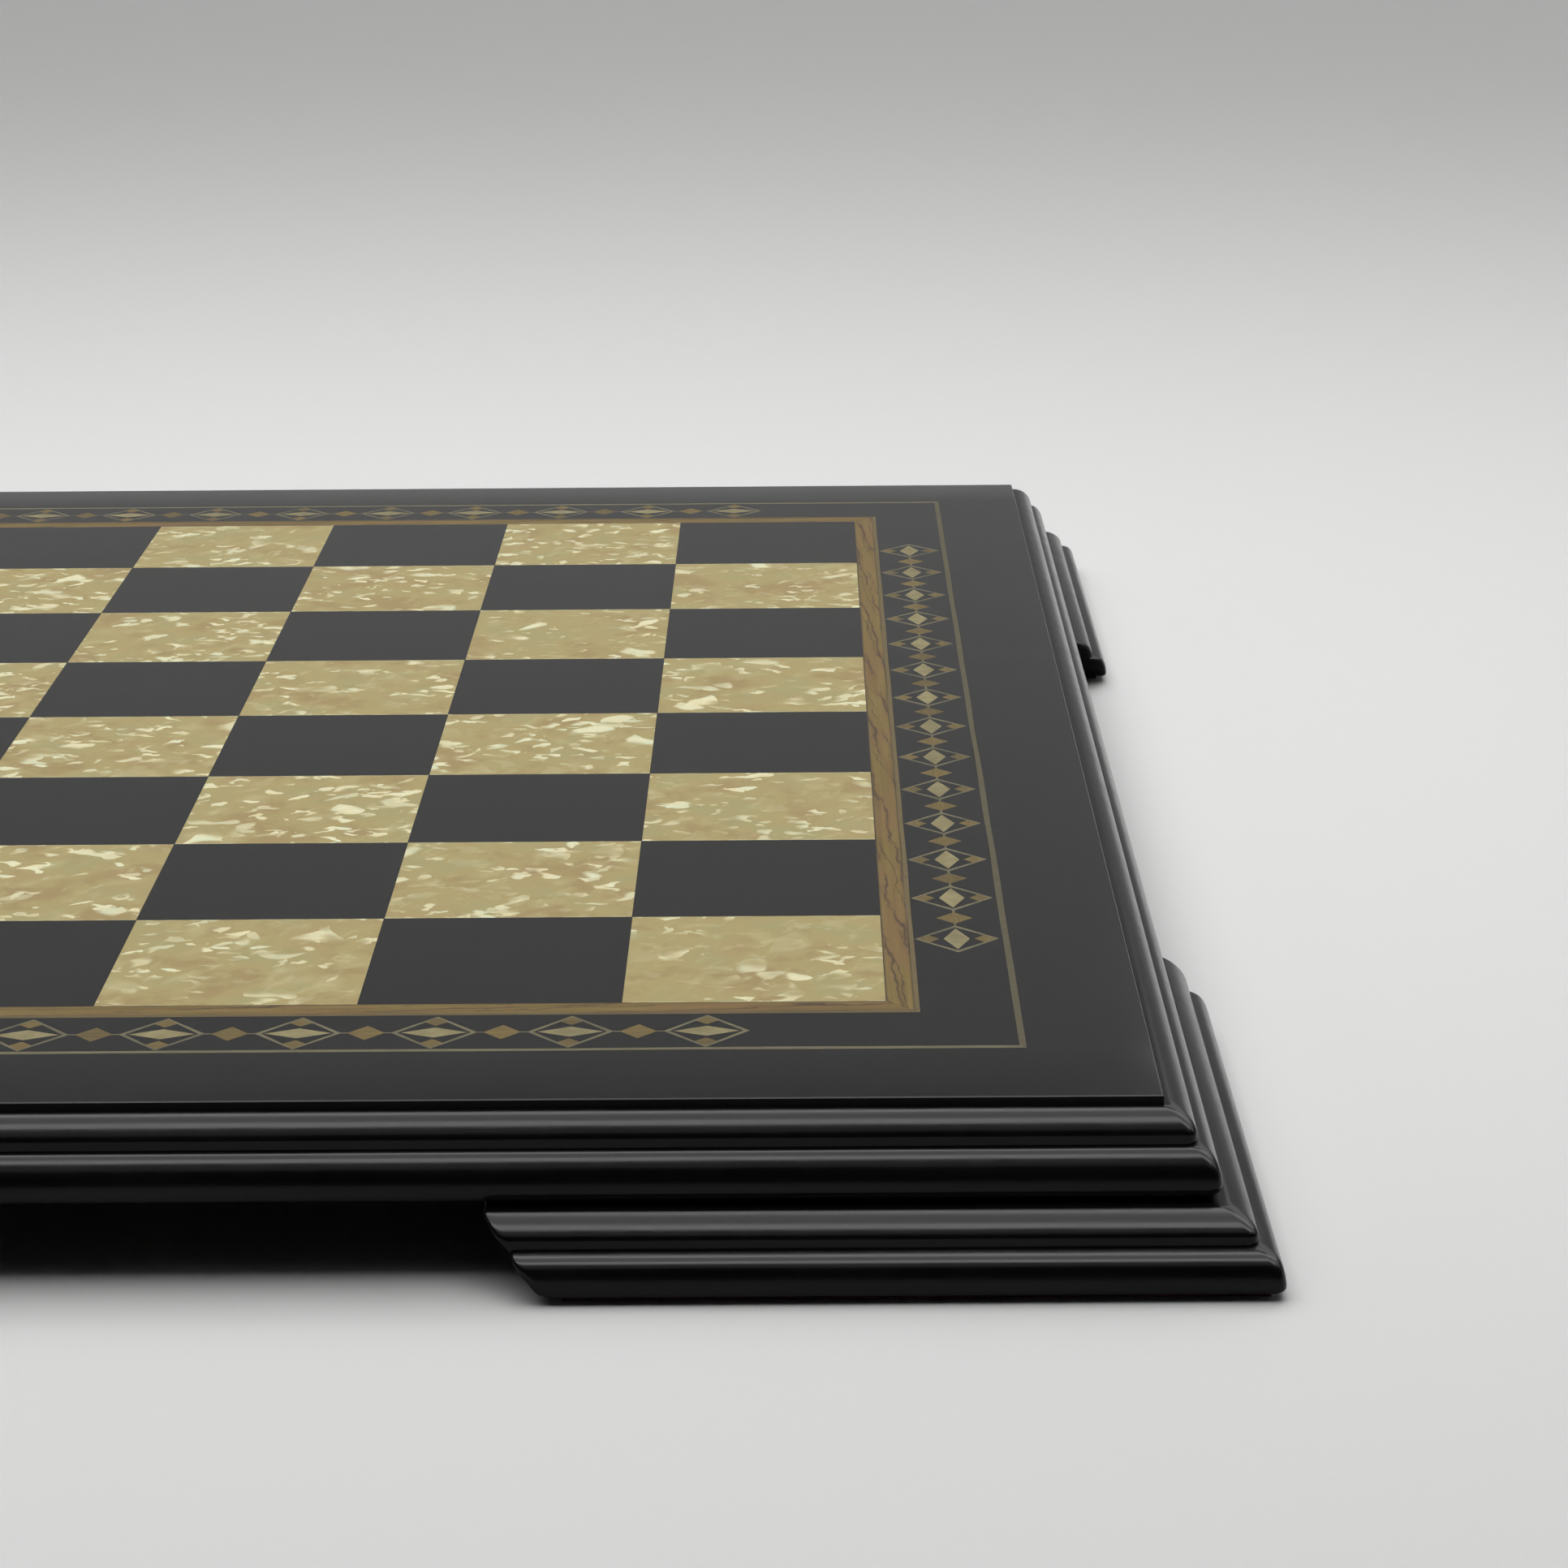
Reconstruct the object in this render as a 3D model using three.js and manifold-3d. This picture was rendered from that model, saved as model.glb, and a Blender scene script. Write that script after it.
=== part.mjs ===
import * as THREE from 'three';
import { mergeVertices } from 'three/addons/utils/BufferGeometryUtils.js';
import Module from 'manifold-3d';

// Inlaid chess board on four corner feet. Millimetres, +Z up, the front side faces -Y.
// The origin is under the centre of the board, on the surface that the board stands on.

// Playing field
const SQUARE = 40;
const FILES = 'abcdefgh';
const RANKS = '12345678';
const FIELD_HALF = SQUARE * FILES.length / 2;

// Gap left between two pieces that touch, and the wall that keeps two pockets apart
const GAP = 0.3;
const POCKET_WALL = 0.2;

// Heights above the surface that the board stands on
const BOARD_TOP = 25;
const SHEET_BOTTOM = 23.3;
const INLAY_BOTTOM = 24;
const CORE_TOP = 23;
const CORE_BOTTOM = 15;
const RAIL_TOP = 23.65;
const RAIL_BOTTOM = 11.7;
const FOOT_TOP = RAIL_BOTTOM - GAP;
const FOOT_BOTTOM = 1;
const FELT_TOP = FOOT_BOTTOM - GAP;

// Distances outward from the centre line of the board, to the inlays and the edges
const WALNUT_OUTER = FIELD_HALF + 4.2;
const LINE_OUTER = FIELD_HALF + 5;
const BAND_INNER = FIELD_HALF + 5.4;
const BAND_OUTER = FIELD_HALF + 18.7;
const STRINGING_INNER = FIELD_HALF + 19.1;
const STRINGING_OUTER = FIELD_HALF + 20.1;
const PANEL_HALF = FIELD_HALF + 38.4;
const PANEL_ARRIS = 1;
const FRAME_INNER = FIELD_HALF + 28;

// Marquetry bands: a row of diamonds that stops short of the corners
const MOTIFS = 14;
const MOTIF_PITCH = 20.2;
const BAND_END_MARGIN = 2.6;
const BAND_HALF_LENGTH = MOTIFS * MOTIF_PITCH / 2 + BAND_END_MARGIN;

// Moulding of two beads, from the top edge: flat, upper bead, plumb fillet, step out, lower bead.
// A bead leaves its top at a slope in degrees and ends plumb, and reaches outward and drops in between.
// Its shoulder and its fall are the lengths of the curve's tangents at those two ends.
const RAIL_MOULDING = {
  flat: 0.85,
  upper: { reach: 3.45, drop: 3.45, slope: 12, shoulder: 2.2, fall: 0.75 },
  fillet: 1.3,
  lower: { reach: 3.15, drop: 4.8, slope: 7, shoulder: 1.6, fall: 2.5 },
  underRadius: 2,
};
const FOOT_MOULDING = {
  flat: 0.7,
  upper: { reach: 3.65, drop: 2.85, slope: 19.5, shoulder: 2.2, fall: 0.6 },
  fillet: 1.65,
  lower: { reach: 3.45, drop: 3.4, slope: 14.5, shoulder: 2, fall: 2.5 },
  underRadius: 0.8,
};
const STEP = 0.2;
const RAIL_START = PANEL_HALF + GAP;
const FOOT_START = RAIL_START + 8;
const ARC_STEPS = 8;

// Feet: the free end of each arm slants back towards the corner as it goes down
const ARM_END_TOP = 102.4;
const ARM_END_SLOPE = 0.86;
const FELT_INSET = 2;

// The sides in order, each a quarter turn on from the last, and the corner where each ends
const SIDES = ['front', 'right', 'back', 'left'];
const CORNERS = ['front_right', 'back_right', 'back_left', 'front_left'];

const wasm = await Module();
wasm.setup();

const finishes = {
  lacquer: { color: 0x1d1d1f, roughness: 0.28, metalness: 0 },
  pearl: { color: 0xcbbf90, roughness: 0.22, metalness: 0 },
  walnut: { color: 0x8b744f, roughness: 0.4, metalness: 0 },
  lightWood: { color: 0xa39868, roughness: 0.4, metalness: 0 },
  marquetry: { color: 0x7a6a47, roughness: 0.35, metalness: 0 },
  mdf: { color: 0x9b7d57, roughness: 0.85, metalness: 0 },
  felt: { color: 0x5c1624, roughness: 1, metalness: 0 },
};

const board = new THREE.Group();

function addPiece(name, geometry, finish, quarterTurns = 0) {
  const mesh = new THREE.Mesh(geometry, new THREE.MeshStandardMaterial(finishes[finish]));
  mesh.name = name;
  mesh.rotation.z = quarterTurns * Math.PI / 2;
  board.add(mesh);
}

// A closed mesh as a solid that can be cut
function solidFrom(geometry) {
  const bare = geometry.clone();
  bare.deleteAttribute('normal');
  bare.deleteAttribute('uv');
  const merged = mergeVertices(bare, 1e-4);
  return new wasm.Manifold(new wasm.Mesh({
    numProp: 3,
    vertProperties: Float32Array.from(merged.attributes.position.array),
    triVerts: Uint32Array.from(merged.index.array),
  }));
}

function geometryFrom(solid) {
  const mesh = solid.getMesh();
  const geometry = new THREE.BufferGeometry();
  geometry.setAttribute('position', new THREE.BufferAttribute(mesh.vertProperties, 3));
  geometry.setIndex(new THREE.BufferAttribute(mesh.triVerts, 1));
  geometry.computeVertexNormals();
  return geometry;
}

function slab(centreX, centreY, width, depth, bottom, top) {
  const box = new THREE.BoxGeometry(width, depth, top - bottom);
  return box.translate(centreX, centreY, (top + bottom) / 2);
}

// A flat outline raised between two heights
function raised(shape, bottom, top) {
  const geometry = new THREE.ExtrudeGeometry(shape, { depth: top - bottom, bevelEnabled: false });
  return geometry.translate(0, 0, bottom);
}

function outline(corners) {
  return new THREE.Shape(corners.map(([x, y]) => new THREE.Vector2(x, y)));
}

function squareRing(inner, outer, bottom, top) {
  const square = (half) => [[-half, -half], [half, -half], [half, half], [-half, half]];
  const ring = outline(square(outer));
  ring.holes.push(outline(square(inner)));
  return raised(ring, bottom, top);
}

// Centres of the light squares; the one at the right-hand end of the near row is light
function lightSquares() {
  const squares = [];
  for (let rank = 0; rank < RANKS.length; rank += 1) {
    for (let file = 0; file < FILES.length; file += 1) {
      if ((file + rank) % 2 === 1) {
        squares.push({
          name: FILES[file] + RANKS[rank],
          x: (file + 0.5) * SQUARE - FIELD_HALF,
          y: (rank + 0.5) * SQUARE - FIELD_HALF,
        });
      }
    }
  }
  return squares;
}

// Front band of marquetry, grown by a margin all round for the pocket that it lies in
function bandSlab(margin) {
  const length = 2 * (BAND_HALF_LENGTH + margin);
  const depth = BAND_OUTER - BAND_INNER + 2 * margin;
  const bottom = INLAY_BOTTOM - margin;
  const top = BOARD_TOP + margin;
  return slab(0, -(BAND_INNER + BAND_OUTER) / 2, length, depth, bottom, top);
}

// Black sheet with a pocket for every inlay and a rounded top edge
function groundSheet() {
  const size = 2 * PANEL_HALF;
  let sheet = solidFrom(slab(0, 0, size, size, SHEET_BOTTOM, BOARD_TOP));

  // Four-sided frustum whose slope takes the top arris off
  const halfDiagonal = PANEL_HALF * Math.SQRT2;
  const narrow = (PANEL_HALF - PANEL_ARRIS) * Math.SQRT2;
  const height = BOARD_TOP - SHEET_BOTTOM;
  const flare = height / PANEL_ARRIS * (halfDiagonal - narrow);
  const bevel = new THREE.CylinderGeometry(narrow, narrow + flare, height, 4, 1, false, Math.PI / 4);
  bevel.rotateX(Math.PI / 2);
  bevel.translate(0, 0, (SHEET_BOTTOM + BOARD_TOP) / 2);
  sheet = sheet.intersect(solidFrom(bevel));

  const above = BOARD_TOP + GAP;
  const pocketBottom = INLAY_BOTTOM - GAP;
  const pocketSize = SQUARE - POCKET_WALL;
  for (const { x, y } of lightSquares()) {
    sheet = sheet.subtract(solidFrom(slab(x, y, pocketSize, pocketSize, pocketBottom, above)));
  }
  const edging = squareRing(FIELD_HALF, LINE_OUTER + GAP, pocketBottom, above);
  const stringing = squareRing(STRINGING_INNER - GAP, STRINGING_OUTER + GAP, pocketBottom, above);
  sheet = sheet.subtract(solidFrom(edging));
  sheet = sheet.subtract(solidFrom(stringing));
  for (let side = 0; side < SIDES.length; side += 1) {
    const pocket = bandSlab(POCKET_WALL).rotateZ(side * Math.PI / 2);
    sheet = sheet.subtract(solidFrom(pocket));
  }
  return geometryFrom(sheet);
}

// Walnut strip along the front of the field, mitred at both ends
function walnutStrip() {
  const inner = FIELD_HALF + GAP;
  const outer = WALNUT_OUTER - GAP;
  const strip = outline([
    [-outer + GAP, -outer],
    [outer - GAP, -outer],
    [inner - GAP, -inner],
    [-inner + GAP, -inner],
  ]);
  return raised(strip, INLAY_BOTTOM, BOARD_TOP);
}

const beadNose = (shape, start) => start + shape.flat + shape.upper.reach;
const mouldingNose = (shape, start) => beadNose(shape, start) + STEP + shape.lower.reach;

// Continues the section from the plumb end of a bead up to its top
function traceBead(section, bead, nose, top) {
  const slope = THREE.MathUtils.degToRad(bead.slope);
  const start = nose - bead.reach;
  const end = top - bead.drop;
  section.lineTo(nose, end);
  section.bezierCurveTo(
    nose, end + bead.fall,
    start + bead.shoulder * Math.cos(slope), top - bead.shoulder * Math.sin(slope),
    start, top,
  );
}

// Outer face of the moulding, from its bottom edge up over the lower bead and the upper bead
function traceBeads(section, shape, start, top, bottom) {
  const nose = mouldingNose(shape, start);
  const under = shape.underRadius;
  section.lineTo(nose - under, bottom);
  section.absarc(nose - under, bottom + under, under, -Math.PI / 2, 0, false);
  traceBead(section, shape.lower, nose, top - shape.upper.drop - shape.fillet);
  section.lineTo(beadNose(shape, start), top - shape.upper.drop - shape.fillet);
  traceBead(section, shape.upper, beadNose(shape, start), top);
  section.lineTo(start, top);
}

// Frame rail: the beads outside, and inside them a ledge that carries the panel
function railSection() {
  const section = new THREE.Shape();
  section.moveTo(FRAME_INNER, RAIL_BOTTOM);
  traceBeads(section, RAIL_MOULDING, RAIL_START, RAIL_TOP, RAIL_BOTTOM);
  section.lineTo(RAIL_START, CORE_BOTTOM - GAP);
  section.lineTo(FRAME_INNER, CORE_BOTTOM - GAP);
  return section;
}

function footSection() {
  const section = new THREE.Shape();
  section.moveTo(FRAME_INNER, FOOT_BOTTOM);
  traceBeads(section, FOOT_MOULDING, FOOT_START, FOOT_TOP, FOOT_BOTTOM);
  section.lineTo(FRAME_INNER, FOOT_TOP);
  return section;
}

// A length of moulding along the front side. Each end takes its own X from the
// section point's distance outward and height.
function mouldingLength(section, leftEnd, rightEnd) {
  const settings = { depth: 1, bevelEnabled: false, curveSegments: ARC_STEPS };
  const geometry = new THREE.ExtrudeGeometry(section, settings);
  const position = geometry.attributes.position;
  for (let i = 0; i < position.count; i += 1) {
    const outward = position.getX(i);
    const height = position.getY(i);
    const end = position.getZ(i) < 0.5 ? rightEnd : leftEnd;
    position.setXYZ(i, end(outward, height), -outward, height);
  }
  geometry.computeVertexNormals();
  return geometry;
}

const mitreRight = (outward) => outward - GAP / 2;
const mitreLeft = (outward) => GAP / 2 - outward;
const freeEnd = (outward, height) => ARM_END_TOP + (FOOT_TOP - height) * ARM_END_SLOPE;
const freeEndLeft = (outward, height) => -freeEnd(outward, height);

// L-shaped felt under the front right foot, set in from the foot's edges
function footFelt() {
  const inner = FRAME_INNER + FELT_INSET;
  const outer = mouldingNose(FOOT_MOULDING, FOOT_START) - FELT_INSET;
  const end = freeEnd(0, FOOT_BOTTOM) + FELT_INSET;
  const felt = outline([
    [end, -outer],
    [outer, -outer],
    [outer, -end],
    [inner, -end],
    [inner, -inner],
    [end, -inner],
  ]);
  return raised(felt, 0, FELT_TOP);
}

// The panel: a core, the black sheet on it, and the inlays in the sheet
addPiece('core_panel', slab(0, 0, 2 * PANEL_HALF, 2 * PANEL_HALF, CORE_BOTTOM, CORE_TOP), 'mdf');
addPiece('ground_sheet', groundSheet(), 'lacquer');
const tile = SQUARE - POCKET_WALL - 2 * GAP;
for (const { name, x, y } of lightSquares()) {
  addPiece(`pearl_square_${name}`, slab(x, y, tile, tile, INLAY_BOTTOM, BOARD_TOP), 'pearl');
}
addPiece('light_line', squareRing(WALNUT_OUTER, LINE_OUTER, INLAY_BOTTOM, BOARD_TOP), 'lightWood');
const stringingRing = squareRing(STRINGING_INNER, STRINGING_OUTER, INLAY_BOTTOM, BOARD_TOP);
addPiece('outer_stringing', stringingRing, 'lightWood');

// One of each of these on every side, and a foot of two arms under every corner
SIDES.forEach((side, turn) => {
  const corner = CORNERS[turn];
  const lastCorner = CORNERS[(turn + CORNERS.length - 1) % CORNERS.length];
  addPiece(`walnut_strip_${side}`, walnutStrip(), 'walnut', turn);
  addPiece(`diamond_band_${side}`, bandSlab(0), 'marquetry', turn);
  addPiece(`frame_rail_${side}`, mouldingLength(railSection(), mitreLeft, mitreRight), 'lacquer', turn);
  const endingArm = mouldingLength(footSection(), freeEnd, mitreRight);
  const startingArm = mouldingLength(footSection(), mitreLeft, freeEndLeft);
  addPiece(`foot_${corner}_${side}_arm`, endingArm, 'lacquer', turn);
  addPiece(`foot_${lastCorner}_${side}_arm`, startingArm, 'lacquer', turn);
  addPiece(`felt_${corner}`, footFelt(), 'felt', turn);
});

export default board;
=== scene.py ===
import math
import random

import bmesh
import bpy
from mathutils import Matrix, Vector


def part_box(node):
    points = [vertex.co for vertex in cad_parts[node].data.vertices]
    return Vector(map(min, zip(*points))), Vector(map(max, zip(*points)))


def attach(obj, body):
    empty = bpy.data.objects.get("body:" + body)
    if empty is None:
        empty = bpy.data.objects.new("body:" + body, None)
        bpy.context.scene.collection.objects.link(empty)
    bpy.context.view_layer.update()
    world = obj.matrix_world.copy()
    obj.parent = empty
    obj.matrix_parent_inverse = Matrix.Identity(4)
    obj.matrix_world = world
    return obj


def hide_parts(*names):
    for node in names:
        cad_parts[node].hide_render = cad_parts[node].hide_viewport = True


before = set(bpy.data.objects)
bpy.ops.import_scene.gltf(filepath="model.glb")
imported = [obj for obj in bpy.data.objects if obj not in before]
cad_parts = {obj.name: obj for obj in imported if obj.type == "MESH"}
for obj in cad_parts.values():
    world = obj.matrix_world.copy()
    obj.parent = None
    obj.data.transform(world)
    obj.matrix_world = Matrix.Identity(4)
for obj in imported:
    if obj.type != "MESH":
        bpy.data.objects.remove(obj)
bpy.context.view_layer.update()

# Inlaid chess board. Metres, +Z up, the front side faces -Y, the origin is under the board's centre.
MM = 0.001
SIDES = ["front", "right", "back", "left"]
CORNERS = ["front_right", "back_right", "back_left", "front_left"]

# Widths of the inlaid strips, and the black left on both sides of a marquetry band
LINE_WIDTH = 0.75 * MM
STRINGING_WIDTH = 1.0 * MM
WALNUT_AND_LINE = 5.0 * MM
GAP_OUTSIDE_BAND = 0.15 * MM
GAP_INSIDE_BAND = 0.1 * MM

# Sizes read from the frame
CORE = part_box("core_panel")
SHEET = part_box("ground_sheet")
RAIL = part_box("frame_rail_front")
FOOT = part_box("foot_front_right_front_arm")
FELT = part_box("felt_front_right")
TOP = SHEET[1].z
SHEET_BOTTOM = CORE[1].z
INLAY_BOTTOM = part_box("light_line")[0].z
PANEL_HALF = SHEET[1].x
LINE_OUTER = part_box("light_line")[1].x
LINE_INNER = LINE_OUTER - LINE_WIDTH
STRINGING_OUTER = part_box("outer_stringing")[1].x
STRINGING_INNER = STRINGING_OUTER - STRINGING_WIDTH
BAND_OUTER = STRINGING_INNER - GAP_OUTSIDE_BAND
BAND_INNER = LINE_OUTER + GAP_INSIDE_BAND
BAND_HALF_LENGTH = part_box("diamond_band_front")[1].x
FIELD_HALF = LINE_OUTER - WALNUT_AND_LINE
SQUARE = FIELD_HALF / 4
PEARL_NODES = sorted(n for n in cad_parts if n.startswith("pearl_square_"))
PEARL_CENTRES = {node: (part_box(node)[0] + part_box(node)[1]) / 2 for node in PEARL_NODES}

# Mouldings: flat, upper bead, plumb fillet, step out, lower bead, and the rounding under it. A bead
# reaches outward and drops; it leaves its top at a slope and ends at a lean from plumb, both in
# degrees, and shoulder and fall are the lengths of its curve's tangents at those two ends.
RAIL_SHAPE = {
    "flat": 0.85 * MM,
    "upper": {"reach": 3.45 * MM, "drop": 3.45 * MM, "slope": 12, "shoulder": 2.2 * MM,
              "fall": 0.75 * MM, "lean": 0},
    "fillet": 1.3 * MM,
    "lower": {"reach": 3.15 * MM, "drop": 4.8 * MM, "slope": 7, "shoulder": 1.6 * MM,
              "fall": 2.5 * MM, "lean": 5},
    "under": 2.0 * MM,
}
FOOT_SHAPE = {
    "flat": 0.7 * MM,
    "upper": {"reach": 3.65 * MM, "drop": 3.35 * MM, "slope": 19.5, "shoulder": 2.2 * MM,
              "fall": 1.1 * MM, "lean": 2},
    "fillet": 1.15 * MM,
    "lower": {"reach": 3.45 * MM, "drop": 4.7 * MM, "slope": 14.5, "shoulder": 2.0 * MM,
              "fall": 3.8 * MM, "lean": 7},
    "under": 0.8 * MM,
}
STEP_OUT = 0.2 * MM
MITRE_RADIUS = 1.6 * MM
BEAD_STEPS = 20

# Slanting free end of a foot's arm: where its top edge lies, its slope, and the wear on its edge
ARM_END_TOP = FOOT[0].x
ARM_END_SLOPE = 0.86
END_INSET = 0.9 * MM
END_LENGTH = 1.7 * MM
END_OVERRUN = 0.8 * MM

# Panel: play round a pearl tile, broken edges, rise of the thin lines above the sheet, and how far the
# sheet's front edge hangs over its rail
TILE_PLAY = 0.05 * MM
INLAY_ARRIS = 0.03 * MM
SHEET_ARRIS = 0.35 * MM
CORE_CHAMFER = 1.0 * MM
LINE_RISE = 0.01 * MM
LINE_STEPS = 60
FRONT_OVERHANG = 1.0 * MM

# Felts: distance from the feet's inner faces, broken edge, raggedness of the outline and its spacing
FELT_MARGIN = 2.0 * MM
FELT_ARRIS = 0.2 * MM
FELT_RAGGED = 0.25 * MM
FELT_STEP = 2.0 * MM

# Marquetry motif, as distances from its centre along and across the band
MOTIFS = 14
MOTIF_PITCH = 20.2 * MM
BAND_SHIFT = {"front": 1.8 * MM, "right": -0.4 * MM, "back": -0.8 * MM, "left": 0.0}
BAND_OFFSET = {"front": -0.2 * MM, "right": 0.2 * MM, "back": 0.0, "left": 0.15 * MM}
RHOMB_ALONG = 6.45 * MM
RHOMB_ACROSS = 6.7 * MM
OUTLINE_WIDTH = 0.72 * MM
PEARL_ALONG = 4.95 * MM
PEARL_ACROSS = 2.1 * MM
KITE_WAIST = 4.3 * MM
KITE_TIP = 2.8 * MM
KITE_END = 6.2 * MM
SMALL_ALONG = 2.8 * MM
SMALL_ACROSS = 2.95 * MM
TIE_HALF_WIDTH = 0.18 * MM

# Points of the motif that follow from these
HALF_PITCH = MOTIF_PITCH / 2
BAND_HALF_WIDTH = (BAND_OUTER - BAND_INNER) / 2
INNER_ALONG = RHOMB_ALONG - OUTLINE_WIDTH * math.hypot(RHOMB_ALONG, RHOMB_ACROSS) / RHOMB_ACROSS
KITE_ALONG = INNER_ALONG * (1 - KITE_WAIST / KITE_END)
TIE_START = RHOMB_ALONG * (1 - TIE_HALF_WIDTH / RHOMB_ACROSS)
TIE_END = HALF_PITCH - SMALL_ALONG * (1 - TIE_HALF_WIDTH / SMALL_ACROSS)

# Specular level of the lacquer on the flat top and on the mouldings
LACQUER_GLOSS = 0.275
MOULDING_GLOSS = 0.15

# Shining scales of the pearl, their sheen painted into the colour, a layer to a row: cells per mm, share
# that shines, seed, turn, squeeze
PAINTED_SHEEN_LAYERS = (
    (0.150, 0.13, (3.0, 31.0, 0.0), 1.15, 0.60),
    (0.190, 0.13, (23.0, 1.0, 0.0), -0.60, 0.50),
    (0.270, 0.13, (44.0, 12.0, 0.0), 0.50, 0.50),
    (0.340, 0.12, (2.0, 66.0, 0.0), 0.10, 0.50),
    (0.450, 0.13, (17.0, 2.0, 0.0), 0.90, 0.40),
    (0.500, 0.13, (1.0, 23.0, 0.0), -0.35, 0.34),
    (0.550, 0.10, (8.0, 8.0, 0.0), -0.15, 0.40),
)

# Studio: a round floor with a sweep up to a wall, in metres; and the photo's camera
FLOOR_RADIUS = 2.2
FLOOR_LAP = 0.02
SWEEP_RADIUS = 1.0
WALL_HEIGHT = 2.4
WASH_HEIGHT = 1.3
CAMERA_PLACE = Vector((0.1474, -0.7076, 0.2263))
CAMERA_YAW = math.radians(-0.27)
CAMERA_PITCH = math.radians(16.95)
CAMERA_ROLL = math.radians(-0.47)
CAMERA_LENS = 88.45
CAMERA_SENSOR = 36

scene = bpy.context.scene


# ---------------------------------------------------------------- node helpers

class Shader:
    """A material whose nodes are added one by one; inputs take numbers, colours or other nodes' sockets."""

    def __init__(self, name):
        self.material = bpy.data.materials.new(name)
        self.material.use_nodes = True
        self.tree = self.material.node_tree
        self.tree.nodes.clear()
        self.coordinates = self.add("TexCoord").outputs["Object"]
        self.mm = self.vector("SCALE", self.coordinates, scale=1 / MM)

    def add(self, kind, inputs=None, **settings):
        node = self.tree.nodes.new("ShaderNode" + kind)
        for key, value in settings.items():
            setattr(node, key, value)
        for key, value in (inputs or {}).items():
            self.feed(node.inputs[key], value)
        return node

    def feed(self, socket, value):
        if isinstance(value, bpy.types.NodeSocket):
            self.tree.links.new(value, socket)
        elif isinstance(value, (tuple, list)) and len(value) == 3 and socket.type == "RGBA":
            socket.default_value = (*value, 1)
        else:
            socket.default_value = value

    def math(self, operation, a, b=0.0, clamp=False):
        node = self.add("Math", operation=operation, use_clamp=clamp)
        self.feed(node.inputs[0], a)
        self.feed(node.inputs[1], b)
        return node.outputs[0]

    def vector(self, operation, a, b=None, scale=None):
        node = self.add("VectorMath", operation=operation)
        self.feed(node.inputs[0], a)
        if b is not None:
            self.feed(node.inputs[1], b)
        if scale is not None:
            self.feed(node.inputs["Scale"], scale)
        return node.outputs["Value" if operation == "DOT_PRODUCT" else "Vector"]

    def shifted(self, random_share, offset):
        """Coordinates in mm, moved by a random share of an offset so that no two pieces are alike."""
        return self.vector("ADD", self.mm, self.vector("SCALE", offset, scale=random_share))

    def stretch(self, source, factors, turn=0.0):
        """Scales the coordinates by three factors, along axes turned about Z by an angle in radians."""
        lengths = tuple(1 / factor for factor in factors)
        inputs = {"Vector": source, "Scale": lengths, "Rotation": (0, 0, turn)}
        return self.add("Mapping", inputs, vector_type="TEXTURE").outputs["Vector"]

    def noise(self, source, scale, detail=2.0, roughness=0.5, output="Fac"):
        settings = {"Vector": source, "Scale": scale, "Detail": detail, "Roughness": roughness}
        return self.add("TexNoise", settings).outputs[output]

    def cells(self, source, scale):
        return self.add("TexVoronoi", {"Vector": source, "Scale": scale})

    def split(self, colour):
        return self.add("SeparateColor", {"Color": colour}).outputs

    def axis(self, vector, name):
        return self.add("SeparateXYZ", {"Vector": vector}).outputs[name]

    def ramp(self, factor, stops):
        """Eased ramp through stops of a position and a colour or a grey level."""
        node = self.add("ValToRGB", {"Fac": factor})
        node.color_ramp.interpolation = "EASE"
        elements = node.color_ramp.elements
        while len(elements) < len(stops):
            elements.new(0.5)
        for element, (position, colour) in zip(elements, stops):
            element.position = position
            element.color = (*colour, 1) if isinstance(colour, tuple) else (colour,) * 3 + (1,)
        return node.outputs["Color"]

    def window(self, value, low, high):
        """0 below low, 1 above high, smooth between; low may be the larger one."""
        node = self.add("MapRange", interpolation_type="SMOOTHSTEP", clamp=True)
        for key, number in {"Value": value, "From Min": low, "From Max": high}.items():
            self.feed(node.inputs[key], number)
        return node.outputs["Result"]

    def mix(self, factor, a, b, blend="MIX"):
        """Mixes two colours; the node's sockets 6, 7 and 2 are the colour ones of several by one name."""
        node = self.add("Mix", data_type="RGBA", blend_type=blend)
        self.feed(node.inputs["Factor"], factor)
        self.feed(node.inputs[6], a)
        self.feed(node.inputs[7], b)
        return node.outputs[2]

    def bump(self, height, strength, distance):
        inputs = {"Height": height, "Strength": strength, "Distance": distance}
        return self.add("Bump", inputs).outputs["Normal"]

    def finish(self, **inputs):
        surface = self.add("BsdfPrincipled", {k.replace("_", " "): v for k, v in inputs.items()})
        output = self.add("OutputMaterial")
        self.tree.links.new(surface.outputs["BSDF"], output.inputs["Surface"])
        return self.material


# ---------------------------------------------------------------- materials

def lacquer_flat():
    """Black lacquer of the panel: rubbed smooth, with faint smears and specks of dust in it."""
    s = Shader("black_lacquer")
    smear = s.noise(s.stretch(s.mm, (0.02, 0.05, 0.05), 0.5), 1.0, 4, 0.6)
    speck = s.window(s.noise(s.mm, 1.9, 1), 0.76, 0.82)
    base = s.mix(speck, (0.004, 0.004, 0.0042), (0.02, 0.02, 0.02))
    roughness = s.ramp(smear, [(0.3, 0.14), (0.7, 0.18)])
    swell = s.noise(s.mm, 0.06, 1)
    normal = s.bump(swell, 0.08, 0.0004)
    return s.finish(Base_Color=base, Roughness=roughness, Normal=normal, Specular_IOR_Level=LACQUER_GLOSS)


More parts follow.
